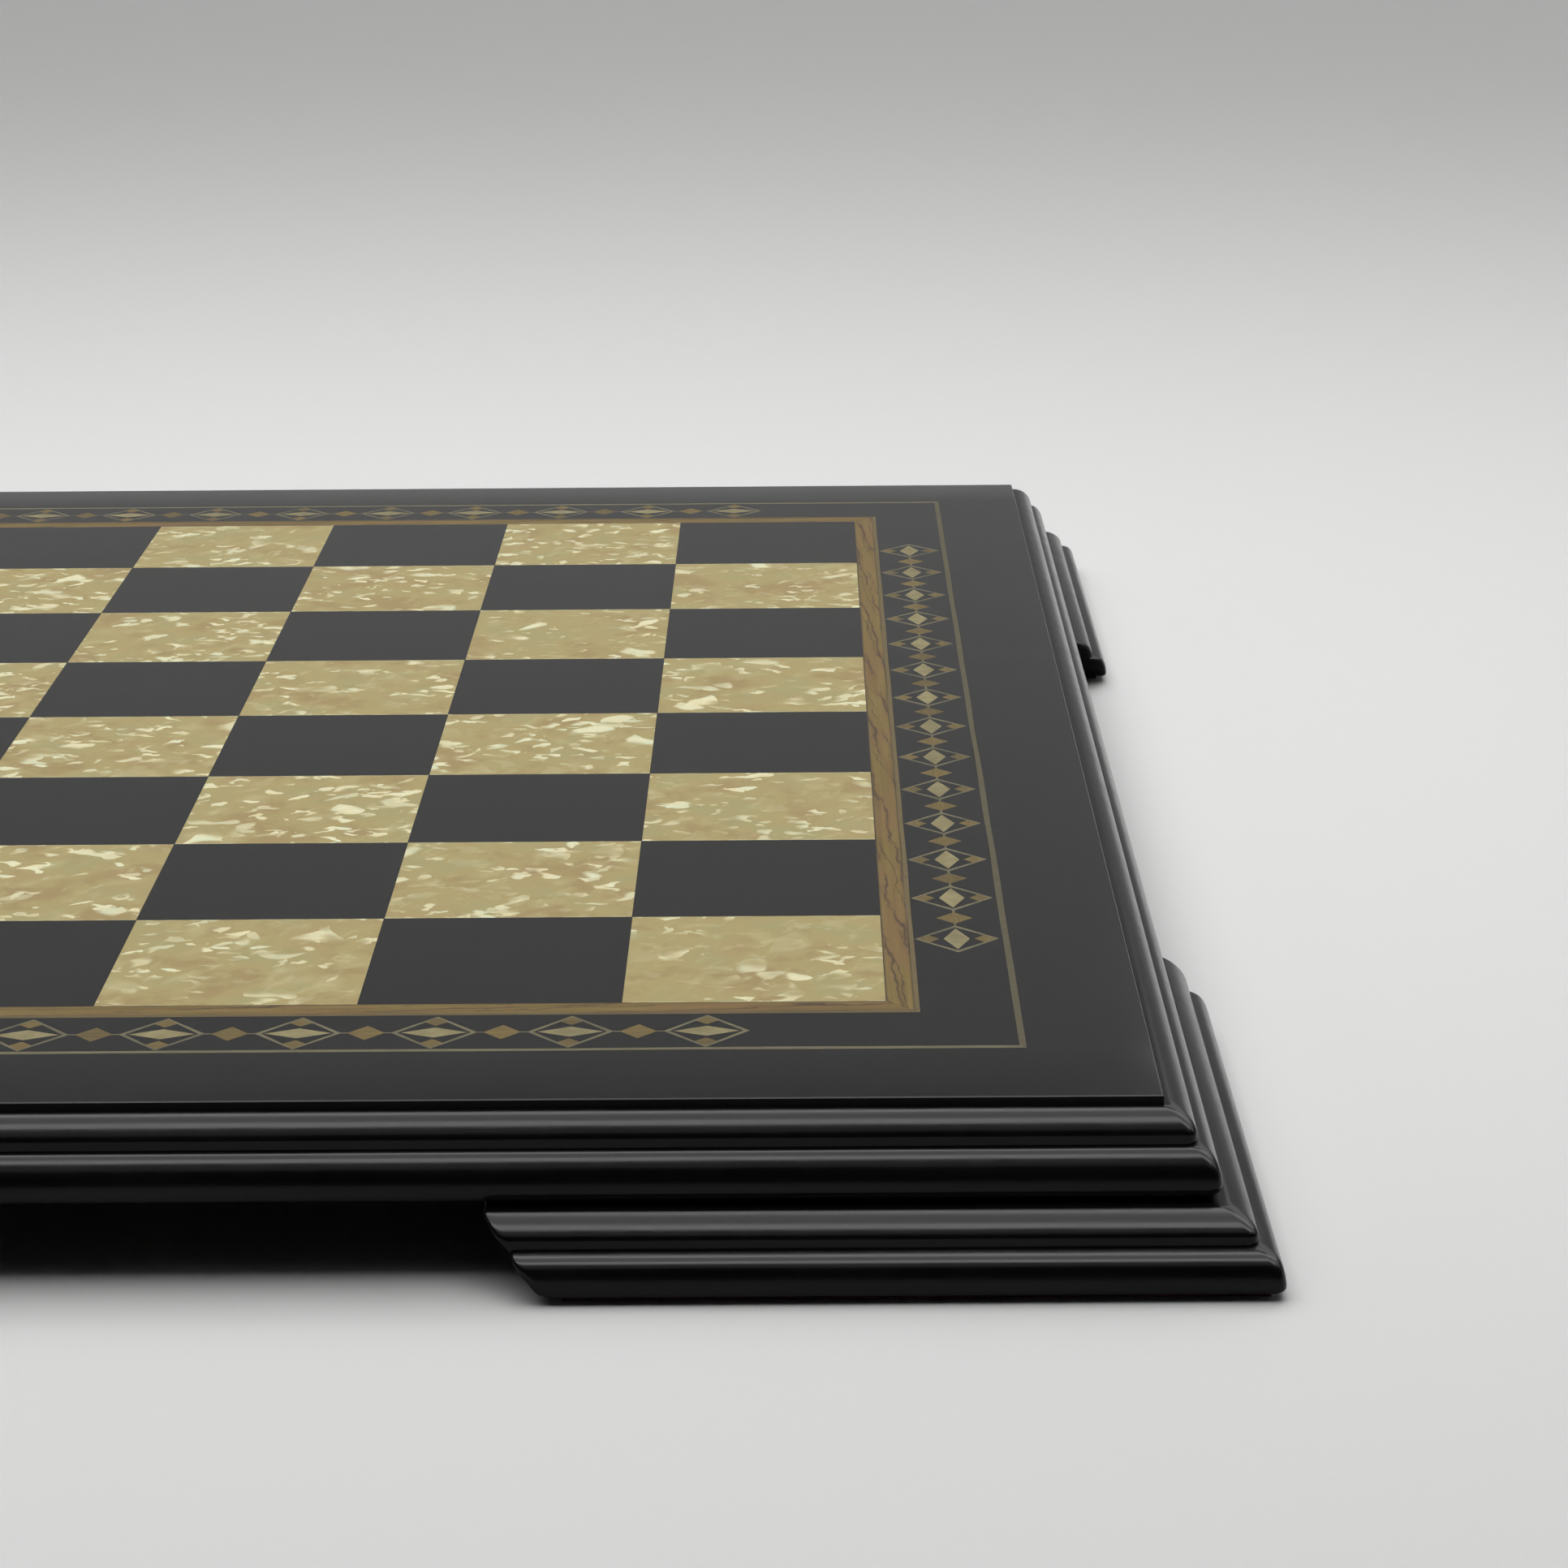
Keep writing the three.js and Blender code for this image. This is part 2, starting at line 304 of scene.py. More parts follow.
def shaded_lacquer_edge():
    """Black lacquer made darker and duller, slightly fibrous: painted shade on the panel's edge in the step
    to the frame and on the arms' free ends.
    """
    s = Shader("shaded_lacquer_edge")
    fibre = s.noise(s.stretch(s.mm, (0.4, 0.4, 4.0)), 1.0, 3)
    base = s.ramp(fibre, [(0.3, (0.0015, 0.0015, 0.0015)), (0.7, (0.004, 0.004, 0.004))])
    normal = s.bump(fibre, 0.2, 0.0001)
    return s.finish(Base_Color=base, Roughness=0.5, Normal=normal, Specular_IOR_Level=0.06)


def lacquer_moulding():
    """Black lacquer on the mouldings: glossier and a little uneven."""
    s = Shader("moulding_lacquer")
    cloud = s.noise(s.stretch(s.mm, (0.03, 0.4, 0.4)), 1.0, 3)
    base = s.ramp(cloud, [(0.3, (0.0028, 0.0028, 0.003)), (0.7, (0.005, 0.005, 0.0054))])
    roughness = s.ramp(s.noise(s.mm, 0.25, 3), [(0.3, 0.18), (0.7, 0.22)])
    ripple = s.noise(s.stretch(s.mm, (0.06, 0.5, 0.5)), 1.0, 2)
    normal = s.bump(ripple, 0.06, 0.0003)
    return s.finish(Base_Color=base, Roughness=roughness, Normal=normal, Specular_IOR_Level=MOULDING_GLOSS)


def pearl_scales(s, place, scale, share, seed, turn, squeeze, soft=0.0):
    """Mask of some of the scales, with their tones.

    A scale is crisp on the edge that lies on top and fades where it dips away; the fade is painted shading
    of its tilt.
    """
    moved = s.vector("ADD", place, seed)
    wander = s.noise(moved, 0.9 * scale, 1.0, 0.4, "Color")
    centred = s.vector("SUBTRACT", wander, (0.5, 0.5, 0.5))
    source = s.vector("ADD", moved, s.vector("SCALE", centred, scale=1.1 / scale))
    source = s.stretch(source, (squeeze, 1.0, 1.0), turn)
    cell = s.cells(source, scale)
    colour = s.split(cell.outputs["Color"])
    chosen = s.window(colour[0], 1 - share, 1 - share + 0.01)
    # Painted shading: each scale lightens towards one edge and fades towards the other
    local = s.vector("SUBTRACT", source, cell.outputs["Position"])
    tilt = s.vector("SUBTRACT", cell.outputs["Color"], (0.5, 0.5, 0.5))
    slope = s.math("MULTIPLY", s.vector("DOT_PRODUCT", local, tilt), 1.7 * scale)
    painted_fade = s.window(slope, -0.06, 0.12)
    rim = s.window(cell.outputs["Distance"], 0.60, 0.48 - soft)
    return s.math("MULTIPLY", s.math("MULTIPLY", chosen, painted_fade), rim), colour[1]


def pearl_ground(s, place):
    """Dull tan and olive laminate: clouds, pale streaks, and broad scales of nearly the same tone."""
    cloud = s.noise(place, 0.085, 3, 0.6)
    base = s.ramp(cloud, [(0.34, (0.345, 0.252, 0.100)), (0.5, (0.400, 0.322, 0.130)),
                          (0.66, (0.375, 0.325, 0.140))])
    blush = s.window(s.noise(s.vector("ADD", place, (40.0, 9.0, 0.0)), 0.12, 2), 0.52, 0.70)
    base = s.mix(s.math("MULTIPLY", blush, 0.4), base, (0.392, 0.272, 0.120))
    along = s.stretch(s.vector("ADD", place, (5.0, 77.0, 0.0)), (0.5, 1.0, 1.0), 1.1)
    streak = s.noise(along, 0.32, 3, 0.6)
    base = s.mix(s.window(streak, 0.54, 0.90), base, (0.560, 0.505, 0.262))
    lighter, _ = pearl_scales(s, place, 0.15, 0.45, (11.0, 5.0, 0.0), 1.0, 0.7, 0.35)
    base = s.mix(s.math("MULTIPLY", lighter, 0.28), base, (0.620, 0.570, 0.310))
    darker, _ = pearl_scales(s, place, 0.19, 0.40, (9.0, 55.0, 0.0), -0.9, 0.7, 0.35)
    return s.mix(s.math("MULTIPLY", darker, 0.25), base, (0.245, 0.190, 0.075))


def pearl_painted_sheen(s, place, own):
    """Strength of the sheen painted on the shining scales, which lie in clusters and are commoner in some
    tiles.
    """
    masks = []
    for layer in PAINTED_SHEEN_LAYERS:
        mask, tone = pearl_scales(s, place, *layer)
        strength = s.math("ADD", 0.55, s.math("MULTIPLY", tone, 0.6))
        masks.append(s.math("MULTIPLY", mask, strength, clamp=True))
    shine = masks[0]
    for mask in masks[1:]:
        shine = s.math("MAXIMUM", shine, mask)
    cluster = s.noise(s.vector("ADD", place, (61.0, 14.0, 0.0)), 0.075, 2, 0.6)
    own_share = s.math("MULTIPLY", s.math("SUBTRACT", own, 0.6), 0.16)
    gathered = s.window(s.math("ADD", cluster, own_share), 0.36, 0.50)
    return s.math("MULTIPLY", shine, s.math("ADD", 0.12, s.math("MULTIPLY", gathered, 0.88)))


def pearl_rims(s, place):
    """Pale rims along the near and far edges of the tiles, broken here and there."""
    row = s.math("FRACT", s.math("DIVIDE", s.axis(s.mm, "Y"), SQUARE / MM))
    from_middle = s.math("ABSOLUTE", s.math("SUBTRACT", row, 0.5))
    broken = s.window(s.noise(place, 0.2, 3), 0.42, 0.6)
    return s.math("MULTIPLY", s.window(from_middle, 0.489, 0.495), broken)


def pearl():
    """Mother-of-pearl laminate: dull tan and olive scales, some of them with a pale sheen painted into the
    colour.
    """
    s = Shader("pearl")
    own = s.add("ObjectInfo").outputs["Random"]
    place = s.shifted(own, (371.0, 193.0, 67.0))
    shine = s.math("MAXIMUM", pearl_painted_sheen(s, place, own), s.math("MULTIPLY", pearl_rims(s, place), 0.45))
    hue = s.noise(place, 0.25, 1)
    glow = s.ramp(hue, [(0.3, (0.86, 0.78, 0.47)), (0.5, (0.87, 0.83, 0.53)), (0.7, (0.80, 0.83, 0.56))])
    # Painted sheen: where the scales shine, and along the pale rims, the base colour turns to the pale glow
    # colours
    base = s.mix(shine, pearl_ground(s, place), glow)
    normal = s.bump(shine, 0.10, 0.00003)
    roughness = s.ramp(shine, [(0.0, 0.34), (1.0, 0.27)])
    return s.finish(Base_Color=base, Roughness=roughness, Normal=normal, Specular_IOR_Level=LACQUER_GLOSS)


def small_pearl():
    """Small diamonds of shell: one even cream each, clouded a little, no two quite alike."""
    s = Shader("pearl_diamonds")
    island = s.add("NewGeometry").outputs["Random Per Island"]
    place = s.shifted(island, (91.0, 57.0, 13.0))
    cloud = s.noise(place, 0.35, 3, 0.6)
    base = s.ramp(cloud, [(0.3, (0.205, 0.170, 0.075)), (0.7, (0.285, 0.245, 0.118))])
    level = s.ramp(island, [(0.0, 0.86), (1.0, 1.12)])
    base = s.mix(1.0, base, level, "MULTIPLY")
    normal = s.bump(cloud, 0.05, 0.00003)
    return s.finish(Base_Color=base, Roughness=0.32, Normal=normal, Specular_IOR_Level=LACQUER_GLOSS)


def walnut_figure(s, place, spacing, seed, slant):
    """Distance from the nearest wavy line that crosses the strip at a slight slant, in mm."""
    source = s.vector("ADD", place, seed)
    across = s.axis(s.stretch(source, (1.0, 1.0, 1.0), slant), "Y")
    slow = s.noise(s.stretch(source, (0.05, 0.2, 0.2)), 1.0, 2)
    quick = s.noise(s.stretch(source, (0.35, 0.7, 0.7)), 1.0, 3, 0.6)
    sway = s.math("ADD", s.math("MULTIPLY", slow, 5.0), s.math("MULTIPLY", quick, 1.6))
    turns = s.math("FRACT", s.math("DIVIDE", s.math("ADD", across, sway), spacing))
    return s.math("MULTIPLY", s.math("ABSOLUTE", s.math("SUBTRACT", turns, 0.5)), spacing)


def walnut_veins(s, place, spacing, width, seed, slant):
    """Dark veins along the lines of the figure, broken here and there."""
    source = s.vector("ADD", place, seed)
    broken = s.window(s.noise(s.stretch(source, (0.06, 0.3, 0.3)), 1.0, 2), 0.38, 0.50)
    figure = walnut_figure(s, place, spacing, seed, slant)
    return s.math("MULTIPLY", s.window(figure, width, 0.0), broken)


def walnut():
    """Walnut strip with its grain along X: a reddish tan ground, fine pores and wandering dark veins."""
    s = Shader("walnut")
    own = s.add("ObjectInfo").outputs["Random"]
    place = s.shifted(own, (210.0, 17.0, 5.0))
    tone = s.noise(s.stretch(place, (0.035, 0.9, 0.9)), 1.0, 4, 0.6)
    base = s.ramp(tone, [(0.3, (0.122, 0.078, 0.014)), (0.5, (0.176, 0.118, 0.023)),
                         (0.72, (0.220, 0.156, 0.038))])
    patch = s.window(s.noise(s.stretch(place, (0.5, 1.0, 1.0)), 0.07, 2), 0.46, 0.62)
    base = s.mix(s.math("MULTIPLY", patch, 0.55), base, (0.190, 0.104, 0.034))
    spacing, seed, slant = 3.7, (5.0, 70.0, 1.0), 0.085
    glow = s.window(walnut_figure(s, place, spacing, seed, slant), 1.2, 0.0)
    base = s.mix(s.math("MULTIPLY", glow, 0.5), base, (0.160, 0.082, 0.024))
    strong = walnut_veins(s, place, spacing, 0.40, seed, slant)
    faint = walnut_veins(s, place, 2.9, 0.20, (90.0, 3.0, 7.0), 0.10)
    veins = s.math("MAXIMUM", strong, faint)
    base = s.mix(s.math("MULTIPLY", veins, 0.9), base, (0.034, 0.019, 0.008))
    pores = s.window(s.noise(s.stretch(place, (0.30, 6.0, 6.0)), 1.0, 2), 0.60, 0.72)
    base = s.mix(s.math("MULTIPLY", pores, 0.4), base, (0.080, 0.048, 0.020))

    # Dark joints along both edges of the strip
    middle, half = -(FIELD_HALF + LINE_INNER) / 2 / MM, (LINE_INNER - FIELD_HALF) / 2 / MM
    off = s.math("ABSOLUTE", s.math("SUBTRACT", s.axis(s.mm, "Y"), middle))
    joint = s.math("MULTIPLY", s.window(off, half - 0.4, half - 0.1), 0.65)
    base = s.mix(joint, base, (0.050, 0.034, 0.016))
    normal = s.bump(s.math("ADD", veins, pores), -0.15, 0.00005)
    return s.finish(Base_Color=base, Roughness=0.32, Normal=normal, Specular_IOR_Level=LACQUER_GLOSS)


def fine_wood(name, dark, light, spread=0.2):
    """Small pieces of veneer: fine grain, and each piece a little lighter or darker than the next."""
    s = Shader(name)
    island = s.add("NewGeometry").outputs["Random Per Island"]
    place = s.shifted(island, (91.0, 57.0, 13.0))
    grain = s.noise(s.stretch(place, (0.25, 2.2, 2.2)), 1.0, 4, 0.65)
    base = s.ramp(grain, [(0.32, dark), (0.68, light)])
    level = s.ramp(island, [(0.0, 1 - spread), (1.0, 1 + spread)])
    base = s.mix(1.0, base, level, "MULTIPLY")
    pores = s.window(s.noise(s.stretch(place, (0.9, 7.0, 7.0)), 1.0, 1), 0.62, 0.74)
    base = s.mix(s.math("MULTIPLY", pores, 0.35), base, tuple(0.45 * c for c in dark))
    normal = s.bump(grain, 0.08, 0.00004)
    return s.finish(Base_Color=base, Roughness=0.32, Normal=normal, Specular_IOR_Level=LACQUER_GLOSS)


def painted_board():
    """Underside of the core: thin black paint over fibreboard."""
    s = Shader("painted_core")
    mottle = s.noise(s.mm, 0.09, 4, 0.6)
    base = s.ramp(mottle, [(0.3, (0.012, 0.012, 0.012)), (0.7, (0.024, 0.023, 0.022))])
    fibres = s.noise(s.mm, 1.6, 4, 0.7)
    normal = s.bump(fibres, 0.25, 0.0001)
    roughness = s.ramp(mottle, [(0.3, 0.48), (0.7, 0.62)])
    return s.finish(Base_Color=base, Roughness=roughness, Normal=normal)


def felt():
    """Dark red pressed felt: matted fibres with a soft nap."""
    s = Shader("felt")
    fibres = s.noise(s.stretch(s.mm, (3.0, 9.0, 4.0), 0.7), 1.0, 4, 0.8)
    tufts = s.noise(s.mm, 0.8, 3, 0.6)
    base = s.ramp(fibres, [(0.3, (0.055, 0.006, 0.014)), (0.7, (0.150, 0.018, 0.034))])
    base = s.mix(s.window(tufts, 0.35, 0.7), s.mix(1.0, base, (0.7, 0.7, 0.7), "MULTIPLY"), base)
    normal = s.bump(s.math("ADD", fibres, tufts), 0.6, 0.0002)
    return s.finish(Base_Color=base, Roughness=0.95, Normal=normal, Sheen_Weight=0.4, Sheen_Roughness=0.5)


# ---------------------------------------------------------------- mesh helpers

def add_piece(name, bm, material, nodes, turn=0, sharp=32, smooth=True):
    """Makes one piece from a bmesh built for the front side, turned on to its own side."""
    bmesh.ops.recalc_face_normals(bm, faces=bm.faces)
    mesh = bpy.data.meshes.new(name)
    bm.to_mesh(mesh)
    bm.free()
    mesh.materials.append(material)
    mesh.polygons.foreach_set("use_smooth", [smooth] * len(mesh.polygons))
    mesh.set_sharp_from_angle(angle=math.radians(sharp))
    piece = bpy.data.objects.new(name, mesh)
    piece.matrix_world = Matrix.Rotation(turn * math.pi / 2, 4, "Z")
    scene.collection.objects.link(piece)
    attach(piece, "root")
    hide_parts(*nodes)
    return piece


def inset(outline, distance):
    """The closed outline, anticlockwise, moved inwards by a distance."""
    count = len(outline)
    moved = []
    for i, (x, y) in enumerate(outline):
        before = Vector(outline[i - 1]) - Vector((x, y))
        after = Vector(outline[(i + 1) % count]) - Vector((x, y))
        before.normalize()
        after.normalize()
        left_of_before = Vector((before.y, -before.x))
        left_of_after = Vector((-after.y, after.x))
        bisector = left_of_before + left_of_after
        reach = distance * 2 / max(bisector.length_squared, 0.5)
        moved.append((x + bisector.x * reach, y + bisector.y * reach))
    return moved


def loft(bm, rings):
    """Skins a list of closed rings of points, and closes both ends."""
    loops = [[bm.verts.new(p) for p in ring] for ring in rings]
    for first, second in zip(loops, loops[1:]):
        for i in range(len(first)):
            j = (i + 1) % len(first)
            bm.faces.new((first[i], first[j], second[j], second[i]))
    bm.faces.new(reversed(loops[0]))
    bm.faces.new(loops[-1])


def plate(bm, outline, bottom, top, arris=0.0):
    """A flat piece with the given outline; its top edge may be broken by a small arris."""
    heights = [(outline, bottom), (outline, top - arris)]
    if arris:
        heights.append((inset(outline, arris), top))
    loft(bm, [[(x, y, z) for x, y in ring] for ring, z in heights])


def rectangle(x0, y0, x1, y1):
    return [(x0, y0), (x1, y0), (x1, y1), (x0, y1)]


# ---------------------------------------------------------------- panel

def sheet_is_cut(x, y):
    """True where an inlay lies in the black sheet."""
    reach = max(abs(x), abs(y))
    if reach < FIELD_HALF:
        half = SQUARE / 2 - TILE_PLAY
        return any(abs(x - c.x) < half and abs(y - c.y) < half for c in PEARL_CENTRES.values())
    if reach < LINE_OUTER or STRINGING_INNER < reach < STRINGING_OUTER:
        return True
    return BAND_INNER < reach < BAND_OUTER and min(abs(x), abs(y)) < BAND_HALF_LENGTH


def sheet_lines():
    """Coordinates at which the sheet's pockets begin and end, the same along X and Y."""
    cuts = {PANEL_HALF, STRINGING_OUTER, STRINGING_INNER, BAND_OUTER, BAND_INNER, LINE_OUTER, FIELD_HALF,
            BAND_HALF_LENGTH, FIELD_HALF - TILE_PLAY}
    for k in range(4):
        cuts.update((k * SQUARE + TILE_PLAY, abs(k * SQUARE - TILE_PLAY)))
    return sorted(cuts | {-c for c in cuts})


def sheet_block():
    """Square-edged sheet with a pocket for every inlay."""
    lines = sheet_lines()
    count = len(lines) - 1
    middle = [(a + b) / 2 for a, b in zip(lines, lines[1:])]
    level = [[INLAY_BOTTOM if sheet_is_cut(x, y) else TOP for y in middle] for x in middle]
    bm = bmesh.new()
    corner = {}

    def vertex(i, j, z):
        key = (i, j, round(z, 7))
        if key not in corner:
            corner[key] = bm.verts.new((lines[i], lines[j], z))
        return corner[key]

    def wall(start, end, low, high):
        bm.faces.new((vertex(*start, low), vertex(*end, low), vertex(*end, high), vertex(*start, high)))

    for i in range(count):
        for j in range(count):
            z = level[i][j]
            square = ((i, j), (i + 1, j), (i + 1, j + 1), (i, j + 1))
            bm.faces.new([vertex(a, b, z) for a, b in square])
            bm.faces.new([vertex(a, b, SHEET_BOTTOM) for a, b in reversed(square)])
            if i and level[i - 1][j] != z:
                wall((i, j), (i, j + 1), INLAY_BOTTOM, TOP)
            if j and level[i][j - 1] != z:
                wall((i, j), (i + 1, j), INLAY_BOTTOM, TOP)
        wall((i, 0), (i + 1, 0), SHEET_BOTTOM, TOP)
        wall((i, count), (i + 1, count), SHEET_BOTTOM, TOP)
        wall((0, i), (0, i + 1), SHEET_BOTTOM, TOP)
        wall((count, i), (count, i + 1), SHEET_BOTTOM, TOP)
    return bm


def ground_sheet(material, shaded_edge_material, arris_material):
    """Black sheet, its top edge rounded and its edge given the darker, duller lacquer as painted shade."""
    bm = sheet_block()
    for vert in bm.verts:
        if vert.co.y < -PANEL_HALF + 0.01 * MM:
            vert.co.y -= FRONT_OVERHANG
    bmesh.ops.recalc_face_normals(bm, faces=bm.faces)

    def on_rim(vert):
        return vert.co.z > TOP - 1e-7 and max(abs(vert.co.x), abs(vert.co.y)) > PANEL_HALF - 1e-7

    def is_rim(edge):
        return all(on_rim(v) for v in edge.verts) and any(f.normal.z < 0.5 for f in edge.link_faces)

    rim = [edge for edge in bm.edges if is_rim(edge)]
    bmesh.ops.bevel(bm, geom=rim, offset=SHEET_ARRIS, segments=5, profile=0.5, affect="EDGES")
    sheet = add_piece("ground_sheet_lacquered", bm, material, ["ground_sheet"], sharp=40)
    sheet.data.materials.append(shaded_edge_material)
    sheet.data.materials.append(arris_material)
    for face in sheet.data.polygons:
        rise = abs(face.normal.z)
        face.material_index = 1 if rise < 0.25 else 2 if rise < 0.995 else 0


def core_panel(material):
    """Board under the black sheet, chamfered below."""
    bm = bmesh.new()
    half = CORE[1].x
    rings = ((half - CORE_CHAMFER, CORE[0].z), (half, CORE[0].z + CORE_CHAMFER), (half, CORE[1].z))
    loft(bm, [[(x, y, z) for x, y in rectangle(-side, -side, side, side)] for side, z in rings])
    add_piece("core_panel_painted", bm, material, ["core_panel"])


def pearl_squares(material):
    half = SQUARE / 2 - TILE_PLAY
    for node, c in PEARL_CENTRES.items():
        bm = bmesh.new()
        plate(bm, rectangle(c.x - half, c.y - half, c.x + half, c.y + half), INLAY_BOTTOM, TOP, INLAY_ARRIS)
        add_piece(node.replace("pearl_square", "pearl_tile"), bm, material, [node])


def mitred(inner, outer):
    """Front strip of a square frame between two half sizes."""
    return [(-outer, -outer), (outer, -outer), (inner, -inner), (-inner, -inner)]


def walnut_strips(material):
    for turn, side in enumerate(SIDES):
        bm = bmesh.new()
        plate(bm, mitred(FIELD_HALF, LINE_INNER), INLAY_BOTTOM, TOP, INLAY_ARRIS)
        add_piece(f"walnut_{side}", bm, material, [f"walnut_strip_{side}"], turn)


def hand_cut_line(name, inner, outer, wander, material, node, seed, turns=(0, 1, 2, 3)):
    """Thin mitred strips whose width varies a little, as hand-cut stringing does."""
    draw = random.Random(seed)
    bm = bmesh.new()
    for turn in turns:
        waves = [(draw.uniform(0.5, 9), draw.uniform(0, 6.3), draw.uniform(0.3, 1)) for _ in range(10)]

        def edge(half, sign, waves=waves):
            points = []
            for i in range(LINE_STEPS + 1):
                t = 2 * i / LINE_STEPS - 1
                sway = sum(a * math.sin(f * math.pi * t + p + sign) for f, p, a in waves) / 4
                hold = min(1, 8 * (1 - abs(t)))
                points.append((t * half, -half + sign * sway * wander * hold))
            return points

        outline = edge(outer, -1) + edge(inner, 1)[::-1]
        rotate = Matrix.Rotation(turn * math.pi / 2, 2)
        plate(bm, [tuple(rotate @ Vector(p)) for p in outline], INLAY_BOTTOM, TOP + LINE_RISE)
    add_piece(name, bm, material, [node])


# ---------------------------------------------------------------- marquetry

def mirror_images(outline):
    """The outline and its three mirror images about both axes of the motif."""
    for sx in (1, -1):
        for sy in (1, -1):
            points = [(sx * x, sy * y) for x, y in outline]
            yield points if sx * sy > 0 else points[::-1]


def diamond(along, across):
    return [(along, 0), (0, across), (-along, 0), (0, -across)]


def lay_motif(lay, x):
    """One large diamond: pale outline, brown kites, black between them and a pearl in the middle."""
    for image in mirror_images([(RHOMB_ALONG, 0), (0, RHOMB_ACROSS), (0, KITE_END), (INNER_ALONG, 0)]):
        lay("lines", image, x)
    hollow = [(INNER_ALONG, 0), (KITE_ALONG, KITE_WAIST), (0, KITE_TIP), (0, PEARL_ACROSS),
              (PEARL_ALONG, 0)]
    for image in mirror_images(hollow):
        lay("ground", image, x)
    kite = [(0, KITE_TIP), (KITE_ALONG, KITE_WAIST), (0, KITE_END), (-KITE_ALONG, KITE_WAIST)]
    lay("browns", kite, x)
    lay("browns", [(px, -py) for px, py in kite][::-1], x)
    lay("pearls", diamond(PEARL_ALONG, PEARL_ACROSS), x)


def lay_surround(lay, x, k):
    """Black ground on both sides of motif k, half way to the next motif or up to the band's end."""
    tie = TIE_HALF_WIDTH
    between = [(0, RHOMB_ACROSS), (TIE_START, tie), (TIE_END, tie), (HALF_PITCH, SMALL_ACROSS),
               (HALF_PITCH, BAND_HALF_WIDTH), (0, BAND_HALF_WIDTH)]
    for sign in (1, -1):
        at_end = k == (MOTIFS - 1 if sign > 0 else 0)
        room = (sign * BAND_HALF_LENGTH - x) * sign
        edge = [(0, RHOMB_ACROSS), (RHOMB_ALONG, 0), (room, 0), (room, BAND_HALF_WIDTH),
                (0, BAND_HALF_WIDTH)]
        for image in mirror_images(edge if at_end else between):
            if all(px * sign >= 0 for px, _ in image):
                lay("ground", image, x)


def lay_link(lay, x):
    """Small brown diamond half way to the next motif, and the thin ties that join it to both."""
    tie = TIE_HALF_WIDTH
    lay("browns", diamond(SMALL_ALONG, SMALL_ACROSS), x + HALF_PITCH)
    link = [(TIE_START, -tie), (TIE_END, -tie), (HALF_PITCH - SMALL_ALONG, 0), (TIE_END, tie),
            (TIE_START, tie), (RHOMB_ALONG, 0)]
    lay("lines", link, x)
    lay("lines", [(-px, py) for px, py in link][::-1], x + MOTIF_PITCH)


def marquetry_band(side, turn, looks):
    """One band of motifs in several pieces; looks gives the material of each, and a slot name that is not
    used.
    """
    centre_line = -(BAND_OUTER + BAND_INNER) / 2
    parts = {part: bmesh.new() for part in looks}

    def lay(part, outline, x):
        """Adds a flat bit; points on the band's own edges stay there, the others take its offset."""
        points = []
        for along, across in outline:
            sideways = 0 if abs(across) == BAND_HALF_WIDTH else BAND_OFFSET[side]
            points.append((x + along, centre_line + across + sideways))
        plate(parts[part], points, INLAY_BOTTOM, TOP)

    first = BAND_SHIFT[side] - (MOTIFS - 1) * HALF_PITCH
    for k in range(MOTIFS):
        x = first + k * MOTIF_PITCH
        lay_motif(lay, x)
        lay_surround(lay, x, k)
        if k < MOTIFS - 1:
            lay_link(lay, x)
    node = [f"diamond_band_{side}"]
    for part, (material, slot) in looks.items():
        add_piece(f"band_{side}_{part}", parts[part], material, node, turn, smooth=False)


# ---------------------------------------------------------------- frame and feet

def arc(centre, radii, start, end, steps):
    """Points on an ellipse between two angles in degrees, both ends included."""
    for i in range(steps + 1):
        angle = math.radians(start + (end - start) * i / steps)
        yield centre[0] + radii[0] * math.cos(angle), centre[1] + radii[1] * math.sin(angle)


def bead(shape, nose, top):
    """Face of one bead, from its lower end up to its top."""
    slope = math.radians(shape["slope"])
    start = nose - shape["reach"]
    end = top - shape["drop"]
    points = [
        Vector((nose, end)),
        Vector((nose - shape["fall"] * math.tan(math.radians(shape["lean"])), end + shape["fall"])),
        Vector((start + shape["shoulder"] * math.cos(slope), top - shape["shoulder"] * math.sin(slope))),
        Vector((start, top)),
    ]
    for i in range(BEAD_STEPS + 1):
        t = i / BEAD_STEPS
        weights = ((1 - t) ** 3, 3 * t * (1 - t) ** 2, 3 * t * t * (1 - t), t ** 3)
        yield tuple(sum((w * p for w, p in zip(weights, points)), Vector((0, 0))))


def bead_face(shape, nose, top, bottom):
    """Outer face of the moulding, as distance outward and height, from its bottom edge to its top."""
    upper_nose = nose - shape["lower"]["reach"] - STEP_OUT
    lower_top = top - shape["upper"]["drop"] - shape["fillet"]
    under = shape["under"]
    points = list(arc((nose - under, bottom + under), (under, under), -90, 0, 6))
    points += bead(shape["lower"], nose, lower_top)
    points.append((upper_nose, lower_top))
    points += bead(shape["upper"], upper_nose, top)
    points.append((upper_nose - shape["upper"]["reach"] - shape["flat"], top))
    return points


def rail_section():
    """Cross-section of a rail: the moulding outside, and a ledge inside for the core and the sheet."""
    inner, nose = -RAIL[1].y, -RAIL[0].y
    ledge = CORE[0].z
    points = [(inner, RAIL[0].z)]
    points += bead_face(RAIL_SHAPE, nose, RAIL[1].z, RAIL[0].z)
    points += [(PANEL_HALF, RAIL[1].z), (PANEL_HALF, ledge), (inner, ledge)]
    return points


def foot_section():
    """Cross-section of a foot's arm: the moulding outside, plain inside."""
    inner, nose = -FOOT[1].y, -FOOT[0].y
    points = [(inner, FOOT[0].z)]
    points += bead_face(FOOT_SHAPE, nose, FOOT[1].z, FOOT[0].z)
    points.append((inner, FOOT[1].z))
    return points


